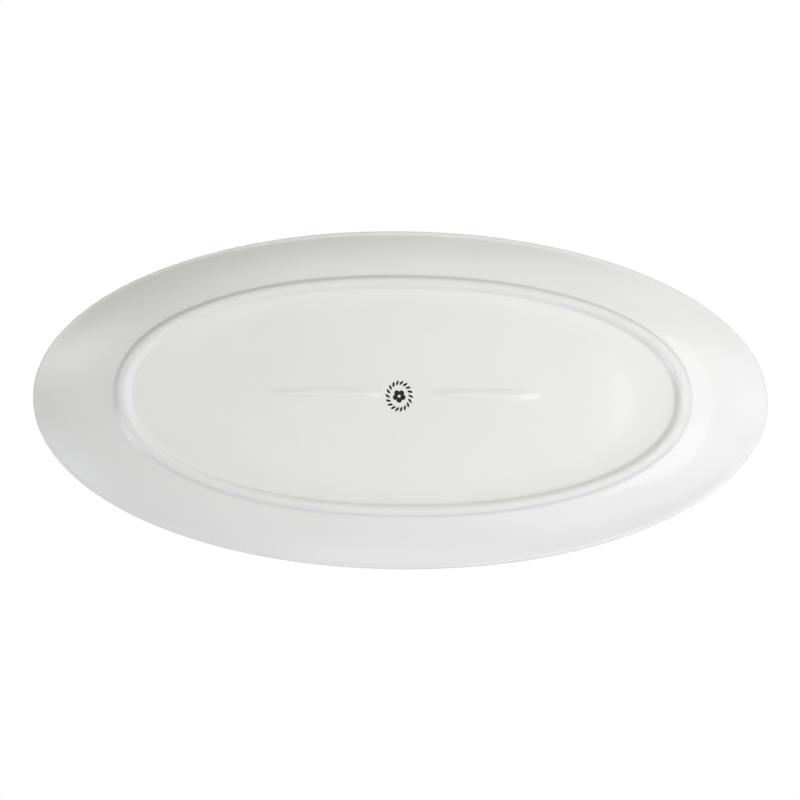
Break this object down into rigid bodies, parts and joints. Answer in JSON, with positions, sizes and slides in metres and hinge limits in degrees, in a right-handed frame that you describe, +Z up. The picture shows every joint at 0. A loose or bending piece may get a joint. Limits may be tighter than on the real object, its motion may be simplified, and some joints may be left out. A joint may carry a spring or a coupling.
{
  "type": "oval serving platter",
  "caption": "Long oval white porcelain serving platter with a flared rim, a low foot ring, two support ribs in the recess under it and a small printed backstamp.",
  "frame": {"origin": "centre of the foot ring's ground crest, in the plane that the platter stands on", "axes": "+X along the platter's length, +Y across it, +Z up out of the well"},
  "size_m": [0.5998, 0.2768, 0.0359],
  "materials": {
    "porcelain_body": "matte",
    "glaze": "gloss",
    "printed_mark": "gloss"
  },
  "bodies": {
    "root": {"dish_body": "porcelain_body", "foot_ring": "porcelain_body", "support_rib_left": "glaze", "support_rib_right": "glaze", "face_glaze": "glaze", "recess_glaze": "glaze", "backstamp": "printed_mark"}
  },
  "joints": []
}
